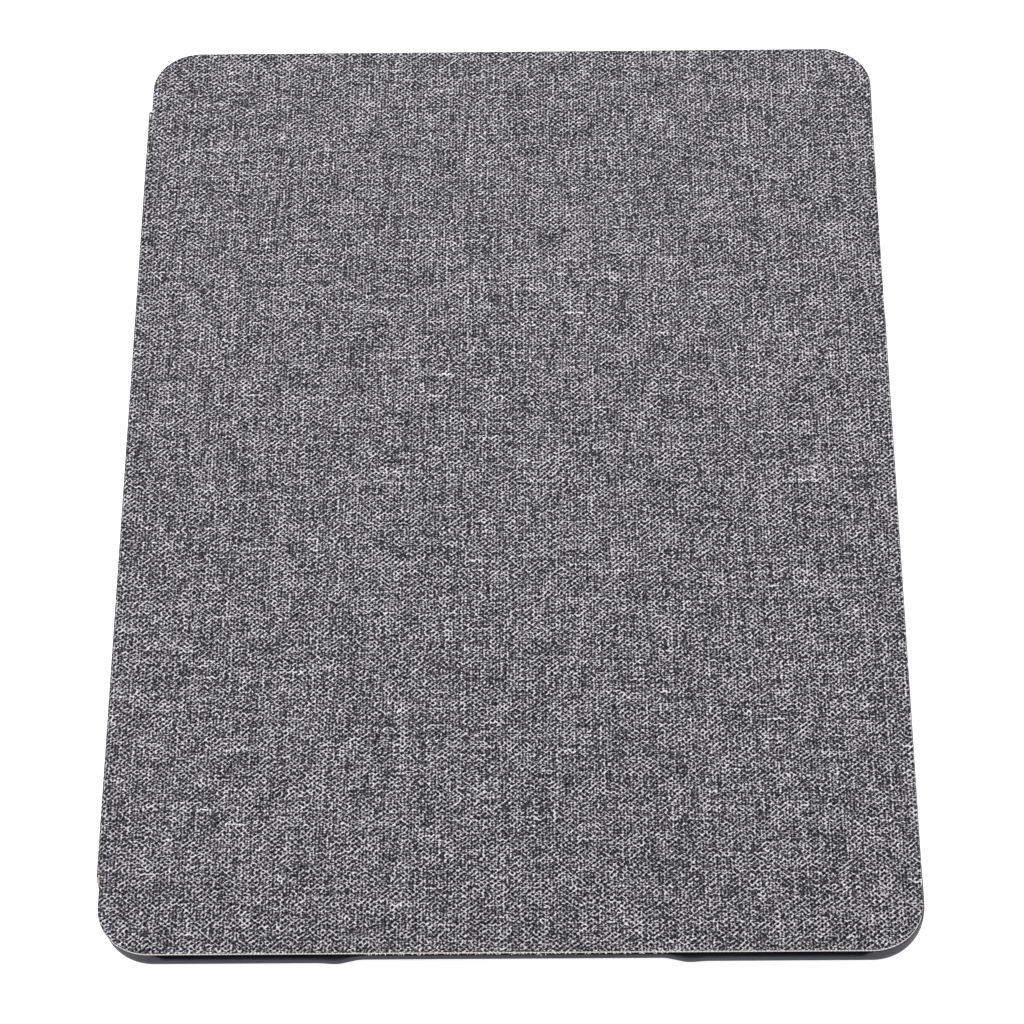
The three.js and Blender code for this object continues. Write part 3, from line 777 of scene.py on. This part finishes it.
class CASE_OT_linings(bpy.types.Operator):
    """Build the board and lining of each panel, the pocket's liner and the spine's inner strip"""

    bl_idname = "case.linings"
    bl_label = "Linings"

    def execute(self, context):
        low, high = corners("front_board")
        low.z = corners("front_lining")[0].z
        panel = rounded_panel("cover_lining_panel", low, high, 14 * MM, 0.2 * MM, 0.45 * MM, 20, 4)
        pressed_border(panel, low.z, 2.2 * MM, 0.7 * MM, 0.16 * MM)
        self.finish_panel(panel, "cover", ["front_board", "front_lining"])

        low = Vector(map(min, corners("back_board_stand")[0], corners("back_lining")[0]))
        high = Vector(map(max, corners("back_board_shell")[1], corners("back_lining")[1]))
        panel = rounded_panel("back_lining_panel", low, high, 12 * MM, 0.4 * MM, 0.2 * MM, 20, 3)
        cut(panel, tube_cutter(camera_hole(), low.z - MM, high.z + MM))
        self.finish_panel(panel, "back", ["back_board_stand", "back_board_shell", "back_lining"])

        low, high = corners("shell_liner")
        panel = rounded_panel("pocket_liner", low, high, 4 * MM, 0.12 * MM, 0, segments=10, soft=2)
        pressed_border(panel, high.z, 1.6 * MM, 0.6 * MM, 0.1 * MM)
        cut(panel, tube_cutter(camera_hole(), low.z - MM, high.z + MM))
        self.finish_panel(panel, "back", ["shell_liner"])

        low = corners("spine_stiffener")[0]
        high = corners("spine_lining")[1]
        panel = block("spine_lining_strip", low, high)
        edit_bevel(panel, lambda a, b: min(a.x, b.x) > high.x - SAME, 0.2 * MM, 3)
        self.finish_panel(panel, "spine", ["spine_stiffener", "spine_lining"])
        return {"FINISHED"}

    def finish_panel(self, panel, body, nodes):
        finish(panel, "lining", 50, body, nodes)


# ---- The shell ----


def ease(t):
    t = max(0.0, min(1.0, t))
    return t * t * (3 - 2 * t)


class CASE_OT_shell(bpy.types.Operator):
    """Build the moulded tray that holds the tablet, with its rounded edge, low rims and corner lips"""

    bl_idname = "case.shell"
    bl_label = "Shell"

    # The tray's rim in plan, in mm from its middle, its ends and its sides.
    outboard_end = 40.0
    jog = 0.8
    bump_height = 0.25
    jog_run = 8.0
    corner_run = 14.5
    corner_slope = 4.0
    dip_length = 34.0
    dip_depth = 2.2
    dip_from_end = 62.0
    lip_reach = 1.2
    lip_thickness = 0.9
    low_rim = 8.9
    side_rim = 10.1

    def execute(self, context):
        low, high = corners("tablet_shell")
        self.far = high.y / MM - self.bump_height
        self.top = high.z / MM
        self.middle = (low.x + high.x) / MM / 2
        self.half = (high.x - low.x) / MM / 2
        self.radius = sizes().shell_corner / MM
        outline = self.outline()
        rings = self.rings(low.z / MM)
        vertices = []
        for ring in rings:
            for p in outline:
                inset, z = ring(p)
                vertices.append(((p["x"] + p["nx"] * inset) * MM, (p["y"] + p["ny"] * inset) * MM, z * MM))
        n = len(outline)
        faces = [
            (k * n + i, k * n + (i + 1) % n, (k + 1) * n + (i + 1) % n, (k + 1) * n + i)
            for k in range(len(rings) - 1)
            for i in range(n)
        ]
        last, centre = (len(rings) - 1) * n, len(vertices)
        vertices.append((self.middle * MM, 0, low.z))
        vertices.append((self.middle * MM, 0, low.z + sizes().shell_floor))
        faces += [(centre, (i + 1) % n, i) for i in range(n)]
        faces += [(centre + 1, last + i, last + (i + 1) % n) for i in range(n)]
        shell = from_mesh("moulded_shell", vertices, faces)
        cut(shell, tube_cutter(camera_hole(), low.z - MM, low.z + 3 * MM))
        finish(shell, "shell", 32, "back", ["tablet_shell"])
        return {"FINISHED"}

    def inset_at(self, d):
        """How far the short sides step in towards their middle, with the small bump beside the step."""
        stepped = 1 - ease((d - (self.outboard_end - self.jog_run)) / (self.jog_run * 0.7))
        bump_at = (d - self.outboard_end + self.jog_run * 0.2) / 2.2
        return self.jog * stepped - self.bump_height * math.exp(-bump_at * bump_at)

    def rim_at(self, x, y, short):
        """The rim's height: full at the corners, lower between them, with a dip for the volume buttons."""
        if short:
            from_side = self.half - abs(x - self.middle)
            down = ease((from_side - (self.corner_run - self.corner_slope)) / self.corner_slope)
            return self.top + (self.low_rim - self.top) * down
        from_end = self.far - abs(y)
        down = ease((from_end - self.corner_run) / (2 * self.corner_slope))
        rim = self.top + (self.side_rim - self.top) * down
        if x > self.middle:
            from_dip = abs(y - (self.far - self.dip_from_end)) - self.dip_length / 2
            rim -= self.dip_depth * (1 - ease(from_dip / self.corner_slope))
        return rim

    def outline(self):
        """Points round the rim in plan, each with its inward normal, rim height and share of a lip."""
        points = []
        # fine steps on the straight sides carry the rim's dips and the step in the wall
        r, corner_steps, short_steps, long_steps = self.radius, 28, 260, 300

        def point(x, y, nx, ny, rim, lip=0.0):
            points.append({"x": x, "y": y, "nx": nx, "ny": ny, "rim": rim, "lip": lip})

        def corner(cx, cy, start):
            for i in range(corner_steps + 1):
                a = start + math.pi / 2 * i / corner_steps
                lip = math.sin(math.pi * i / corner_steps)
                point(cx + r * math.cos(a), cy + r * math.sin(a), -math.cos(a), -math.sin(a), self.top, lip)

        def short_side(sign):
            reach = self.half - r - 0.2
            for i in range(short_steps + 1):
                d = reach * (2 * i / short_steps - 1)
                x = self.middle - sign * d
                point(x, sign * (self.far - self.inset_at(abs(d))), 0, -sign, self.rim_at(x, 0, True))

        def long_side(sign):
            reach = self.far - r - 0.2
            for i in range(long_steps + 1):
                y = sign * reach * (2 * i / long_steps - 1)
                x = self.middle + sign * self.half
                point(x, y, -sign, 0, self.rim_at(x, y, False))

        for quarter, (sx, sy) in enumerate(((1, 1), (-1, 1), (-1, -1), (1, -1))):
            corner(self.middle + sx * (self.half - r), sy * (self.far - r), math.pi / 2 * quarter)
            if quarter % 2:
                long_side(sx)
            else:
                short_side(sy)
        return points

    def rings(self, bottom):
        """The wall's section from the outside of the bottom, over the rim, to the inside of the floor."""
        wall, floor = sizes().shell_wall / MM, bottom + sizes().shell_floor / MM
        outer = min(sizes().shell_round / MM, self.low_rim - bottom - 0.05)
        inner = max(0.5, outer - wall)
        steps, edge = 12, 0.3
        rings = []
        for i in range(steps + 1):
            a = math.pi / 2 * i / steps
            rings.append(lambda p, a=a: (outer * (1 - math.sin(a)), bottom + outer * (1 - math.cos(a))))
        for i in range(1, 5):
            a = math.pi / 2 * i / 4
            rings.append(lambda p, a=a: (edge * (1 - math.cos(a)), p["rim"] - edge * (1 - math.sin(a))))
        thick = self.lip_thickness
        for inset, down in ((-0.2, 0), (0, 0.2), (0, thick)):
            rings.append(lambda p, i=inset, d=down: (wall + i + self.lip_reach * p["lip"], p["rim"] - d))
        rings.append(lambda p: (wall, p["rim"] - thick - 0.1))
        for i in reversed(range(steps + 1)):
            a = math.pi / 2 * i / steps
            inset, z = wall + inner * (1 - math.sin(a)), floor + inner * (1 - math.cos(a))
            rings.append(lambda p, i=inset, z=z: (i, min(z, p["rim"] - thick - 0.2)))
        return rings


# ---- The keyboard ----

KEY_LABELS = {
    "key_escape": ["esc"],
    "key_function": [str(n) for n in range(1, 13)],
    "key_lock": ["lock"],
    "key_numbers": list("`1234567890-="),
    "key_backspace": ["back"],
    "key_tab": ["tab"],
    "key_upper_letters": list("QWERTYUIOP[]\\"),
    "key_caps": ["caps"],
    "key_home_letters": list("ASDFGHJKL;'"),
    "key_return": ["return"],
    "key_left_shift": ["shift"],
    "key_lower_letters": list("ZXCVBNM,./"),
    "key_right_shift": ["shift"],
    "key_fn": ["fn"],
    "key_control": ["ctrl"],
    "key_left_option": ["alt"],
    "key_left_command": ["start"],
    "key_space": [""],
    "key_right_command": ["menu"],
    "key_right_option": ["alt"],
    "key_arrow_left": ["<"],
    "key_arrow_up": ["^"],
    "key_arrow_down": ["v"],
    "key_arrow_right": [">"],
}


def cap_boxes(name):
    """The caps of a key node, as boxes from its lowest faces, in reading order."""
    mesh = NODES[name].data
    z0 = min(v.co.z for v in mesh.vertices)
    low_faces = [f for f in mesh.polygons if all(mesh.vertices[i].co.z < z0 + SAME for i in f.vertices)]
    groups = []
    for face in low_faces:
        spots = {tuple(round(c, 7) for c in mesh.vertices[i].co) for i in face.vertices}
        touching = [g for g in groups if g & spots]
        for g in touching:
            groups.remove(g)
            spots |= g
        groups.append(spots)
    boxes = []
    for g in groups:
        xs, ys = [p[0] for p in g], [p[1] for p in g]
        boxes.append((min(xs), max(xs), min(ys), max(ys)))
    return sorted(boxes, key=lambda b: -b[3]), z0


def rounded_outline(x0, x1, y0, y1, inset, radius, steps=5):
    """A rectangle with round corners, as points that turn from +X towards +Y."""
    r = max(0.25 * MM, radius - inset)
    points = []
    for k, (cx, cy) in enumerate(((x1, y1), (x0, y1), (x0, y0), (x1, y0))):
        sx, sy = (1, -1)[k in (1, 2)], (1, -1)[k in (2, 3)]
        for i in range(steps + 1):
            a = math.pi / 2 * (k + i / steps)
            points.append((cx - sx * (inset + r) + r * math.cos(a), cy - sy * (inset + r) + r * math.sin(a)))
    return points


def cap_mesh(name, boxes, z0, z1):
    """Key caps with rounded sides, a soft edge and a shallow dish in the face that the fingers touch.
    Insets by operators fold over at the round corners, so the rings are laid one by one."""
    edge, dish = 0.28 * MM, 0.11 * MM
    rings = [(0, z1)]
    turns = [math.pi / 6 * i for i in range(4)]
    rings += [(edge * (1 - math.cos(a)), z0 + edge * (1 - math.sin(a))) for a in turns]
    rings += [(inset * MM, z0 + dish * share) for inset, share in ((1.2, 0.35), (2.2, 0.7), (3.4, 1.0))]
    vertices, faces = [], []
    for x0, x1, y0, y1 in boxes:
        start = len(vertices)
        for inset, z in rings:
            vertices += [(x, y, z) for x, y in rounded_outline(x0, x1, y0, y1, inset, 1.5 * MM)]
        n = (len(vertices) - start) // len(rings)
        for k in range(len(rings) - 1):
            for i in range(n):
                j = (i + 1) % n
                a, b = start + k * n, start + (k + 1) * n
                faces.append((a + i, b + i, b + j, a + j))
        faces.append(tuple(start + i for i in range(n)))
        last = start + (len(rings) - 1) * n
        faces.append(tuple(last + i for i in reversed(range(n))))
    return from_mesh(name, vertices, faces)


def legend(word, x, y, z):
    """A printed word on a key's face, which reads from left to right when the case is open."""
    text = bpy.data.curves.new("legend", "FONT")
    text.body = word
    text.size = (4.6 if len(word) == 1 else 2.9) * MM
    text.align_x = "CENTER"
    text.align_y = "CENTER"
    text.extrude = 0.03 * MM
    text.resolution_u = 3
    obj = bpy.data.objects.new("legend", text)
    bpy.context.scene.collection.objects.link(obj)
    turn = Matrix(((0, -1, 0), (-1, 0, 0), (0, 0, -1))).to_4x4()
    obj.matrix_world = Matrix.Translation((x, y, z)) @ turn
    return obj


class CASE_OT_keys(bpy.types.Operator):
    """Build the key caps of each row, dished and printed with plain letters"""

    bl_idname = "case.keys"
    bl_label = "Keys"

    def execute(self, context):
        for name, words in KEY_LABELS.items():
            boxes, z0 = cap_boxes(name)
            if len(boxes) != len(words):
                raise RuntimeError(f"{name} has {len(boxes)} caps and {len(words)} words")
            low, high = corners(name)
            web = high.z - 0.4 * MM
            caps = cap_mesh(name + "_caps", boxes, z0, web + 0.1 * MM)
            paint(caps, "key")
            smooth(caps, 40)
            words_made = [
                legend(word, (x0 + x1) / 2, (y0 + y1) / 2, z0 + 0.1 * MM)
                for word, (x0, x1, y0, y1) in zip(words, boxes)
                if word
            ]
            back = block("web", (low.x, low.y, web), high)
            paint(back, "key")
            for obj in words_made:
                only(obj)
                bpy.ops.object.convert(target="MESH")
                paint(obj, "legend")
                settle(obj, "legend")
            piece = join([caps, back, *words_made], name + "_caps")
            add_piece(piece, name, [name])
        return {"FINISHED"}


class CASE_OT_keyboard(bpy.types.Operator):
    """Build the keyboard's deck, its bumpers, its power switch and the bar with the tablet groove"""

    bl_idname = "case.keyboard"
    bl_label = "Keyboard"

    def execute(self, context):
        self.deck()
        self.switch()
        for i in range(1, 5):
            low, high = corners(f"deck_bumper_{i}")
            bumper = cylinder(f"soft_bumper_{i}", (low + high) / 2, (high.x - low.x) / 2, high.z - low.z, 48)
            edit_bevel(bumper, level_at(low.z), 0.4 * MM, 5)
            finish(bumper, "rubber", 40, "cover", [f"deck_bumper_{i}"])
        low, high = corners("tablet_groove_bar")
        bar = rounded_panel("groove_bar", low, high, 2 * MM, 0, 0.7 * MM, segments=8, soft=5)
        middle, half_groove, groove_depth = (low.x + high.x) / 2, 3.7 * MM, 1.5 * MM
        start = (middle - half_groove, low.y - MM, low.z - MM)
        cut(bar, block("cutter", start, (middle + half_groove, high.y + MM, low.z + groove_depth)))
        finish(bar, "deck", 30, "cover", ["tablet_groove_bar"])
        return {"FINISHED"}

    def deck(self):
        low, high = corners("keyboard_deck")
        deck = rounded_panel("keyboard_top_case", low, high, 5 * MM, 0, 0.35 * MM, segments=10, soft=4)
        fit, port_fit = 0.4 * MM, 0.1 * MM
        reach = (low.z - MM, high.z + MM)
        cutters = []
        for name in KEY_LABELS:
            for x0, x1, y0, y1 in cap_boxes(name)[0]:
                cutters.append(block("hole", (x0 - fit, y0 - fit, reach[0]), (x1 + fit, y1 + fit, reach[1])))
        # the slot is longer on the side that the switch slides to
        knob = sum(corners("power_switch"), Vector()) / 2
        start, end = knob - Vector((1.3, 5.4, 0)) * MM, knob + Vector((1.3, 3.4, 0)) * MM
        start.z, end.z = reach
        cutters.append(block("slot", start, end))
        port_low, port_high = corners("charging_port")
        start = (low.x - MM, port_low.y - port_fit, port_low.z - port_fit)
        cutters.append(block("port", start, (port_high.x + port_fit, port_high.y + port_fit, reach[1])))
        holes = join(cutters, "key_holes")
        edit_bevel(holes, upright, 1.0 * MM, 4)
        cut(deck, holes, many=True)
        lens = sum(corners("indicator_lens"), Vector()) / 2
        cut(deck, tube_cutter((lens.x, lens.y, 0.9 * MM), *reach))
        finish(deck, "deck", 35, "cover", ["keyboard_deck"])

    def switch(self):
        low, high = corners("power_switch")
        middle = (low + high) / 2
        deck_inner = corners("keyboard_deck")[1].z

        def bar(y, half_width, half_length, z0, z1):
            start = (middle.x - half_width, y - half_length, z0)
            return block("bar", start, (middle.x + half_width, y + half_length, z1))

        knob = bar(middle.y, MM, 2.2 * MM, low.z, deck_inner + 0.1 * MM)
        edit_bevel(knob, upright, 0.5 * MM, 4)
        edit_bevel(knob, level_at(low.z), 0.15 * MM, 2)
        rib_pitch = 0.9 * MM
        ribs = [
            bar(middle.y + i * rib_pitch, 0.7 * MM, 0.15 * MM, low.z - 0.12 * MM, low.z + 0.1 * MM)
            for i in (-1, 0, 1)
        ]
        shoe = block("shoe", (low.x, low.y, deck_inner + 0.05 * MM), high)
        switch = join([knob, *ribs, shoe], "slide_switch")
        finish(switch, "key", 35, "power_switch", ["power_switch"])


CAD_FINISHES = {
    "deck": ["keyboard_base"],
    "film": ["keyboard_pad", "membrane_sheet"],
    "steel": ["key_plate", "charging_port"],
    "circuit": ["circuit_board"],
    "foil": ["battery"],
    "lens": ["indicator_lens"],
    "nickel": [f"closure_magnet_{i}" for i in (1, 2, 3)] + [f"stand_magnet_{i}" for i in (1, 2)],
}


class CASE_OT_inner_finishes(bpy.types.Operator):
    """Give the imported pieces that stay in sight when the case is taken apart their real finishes"""

    bl_idname = "case.inner_finishes"
    bl_label = "Inner finishes"

    def execute(self, context):
        for look, names in CAD_FINISHES.items():
            for name in names:
                paint(NODES[name], look)
        return {"FINISHED"}


# ---- The studio ----


class CASE_OT_stage(bpy.types.Operator):
    """Build the pale floor, the soft lights and the camera"""

    bl_idname = "case.stage"
    bl_label = "Studio"

    elevation: angle_setting("Elevation", 55.0)
    azimuth: angle_setting("Azimuth", 1.27)
    roll: angle_setting("Roll", -1.465)
    distance: length_setting("Distance", "From the camera to the middle of the cover", 914)
    lens: bpy.props.FloatProperty(name="Lens", description="Focal length in mm", default=138.42)
    aim_up: angle_setting("Aim above the case", -0.6613)
    aim_right: angle_setting("Aim beside the case", 0.021)

    def execute(self, context):
        deselect()
        bpy.ops.mesh.primitive_plane_add(size=6, location=(0, 0, 0))
        floor = settle(bpy.context.object, "studio_floor")
        made, tree, place = material("matt_white_paper")
        tooth = node(tree, "TexNoise", Vector=place, Scale=300.0, Detail=2.0, out="Fac")
        colour = node(tree, "ValToRGB", tooth, stops=[(0.0, grey(0.54)), (1.0, grey(0.56))])
        # a light table glows, mostly to the eye, so that the case casts next to no shadow
        seen = node(tree, "LightPath", out="Is Camera Ray")
        glow = node(tree, "Math", seen, 0.75, 0.12, operation="MULTIPLY_ADD")
        surface(made, Base_Color=colour, Roughness=0.9, Emission_Color=grey(1.0), Emission_Strength=glow)
        floor.data.materials.append(made)
        self.camera(context)
        self.lights(context)
        return {"FINISHED"}

    def camera(self, context):
        low, high = corners("front_fabric")
        target = (low + high) / 2
        target.z = high.z
        forward = Vector((
            -math.sin(self.azimuth) * math.cos(self.elevation),
            math.cos(self.azimuth) * math.cos(self.elevation),
            -math.sin(self.elevation),
        ))
        right = Quaternion(-forward, self.roll) @ Vector((math.cos(self.azimuth), math.sin(self.azimuth), 0))
        up = right.cross(forward)
        place = target - forward * self.distance
        forward = (forward + up * math.tan(self.aim_up) + right * math.tan(self.aim_right)).normalized()
        right = (right - forward * right.dot(forward)).normalized()
        up = right.cross(forward)
        lens = bpy.data.cameras.new("camera")
        lens.lens = self.lens
        lens.sensor_width = 36
        lens.clip_start = 0.05
        camera = bpy.data.objects.new("camera", lens)
        context.scene.collection.objects.link(camera)
        turn = Matrix((right, up, -forward)).transposed()
        camera.matrix_world = Matrix.Translation(place) @ turn.to_4x4()
        context.scene.camera = camera

    def lights(self, context):
        world = bpy.data.worlds.new("studio_air")
        context.scene.world = world
        world.use_nodes = True
        world.node_tree.nodes["Background"].inputs[0].default_value = (1.0, 1.0, 1.0, 1.0)
        world.node_tree.nodes["Background"].inputs[1].default_value = 0.55
        for name, place, size, power in (
            ("soft_box_far", (-0.25, 0.9, 1.3), 1.4, 17.0),
            ("soft_box_top", (0.1, -0.1, 1.9), 1.6, 13.0),
            ("soft_box_right", (0.95, -0.25, 0.4), 0.4, 2.4),
            ("soft_box_left", (-0.95, -0.25, 0.4), 0.3, 1.1),
        ):
            light = bpy.data.lights.new(name, "AREA")
            light.shape = "SQUARE"
            light.size = size
            light.energy = power
            lamp = bpy.data.objects.new(name, light)
            context.scene.collection.objects.link(lamp)
            lamp.location = place
            lamp.rotation_euler = (-Vector(place)).to_track_quat("-Z", "Y").to_euler()
        context.scene.view_settings.view_transform = "Standard"
        context.scene.view_settings.look = "None"


OPERATORS = [
    CASE_OT_cover_fabric,
    CASE_OT_back_fabric,
    CASE_OT_fold_fabric,
    CASE_OT_loose_threads,
    CASE_OT_linings,
    CASE_OT_shell,
    CASE_OT_keys,
    CASE_OT_keyboard,
    CASE_OT_inner_finishes,
    CASE_OT_stage,
]


class CASE_PT_panel(bpy.types.Panel):
    """Lists the steps that build the case"""

    bl_idname = "CASE_PT_panel"
    bl_label = "Tablet keyboard case"
    bl_space_type = "VIEW_3D"
    bl_region_type = "UI"
    bl_category = "Case"

    def draw(self, context):
        for group in (context.scene.case_sizes, context.scene.case_colours):
            for name in group.bl_rna.properties.keys():
                if name not in ("rna_type", "name"):
                    self.layout.prop(group, name)
        for operator in OPERATORS:
            self.layout.operator(operator.bl_idname)


CLASSES = [CaseSizes, CaseColours, *OPERATORS, CASE_PT_panel]


def register():
    for cls in CLASSES:
        bpy.utils.register_class(cls)
    bpy.types.Scene.case_sizes = bpy.props.PointerProperty(type=CaseSizes)
    bpy.types.Scene.case_colours = bpy.props.PointerProperty(type=CaseColours)


def unregister():
    del bpy.types.Scene.case_colours
    del bpy.types.Scene.case_sizes
    for cls in reversed(CLASSES):
        bpy.utils.unregister_class(cls)


def main():
    register()
    make_materials()
    for operator in OPERATORS:
        group, name = operator.bl_idname.split(".")
        getattr(getattr(bpy.ops, group), name)()


if __name__ == "__main__":
    main()
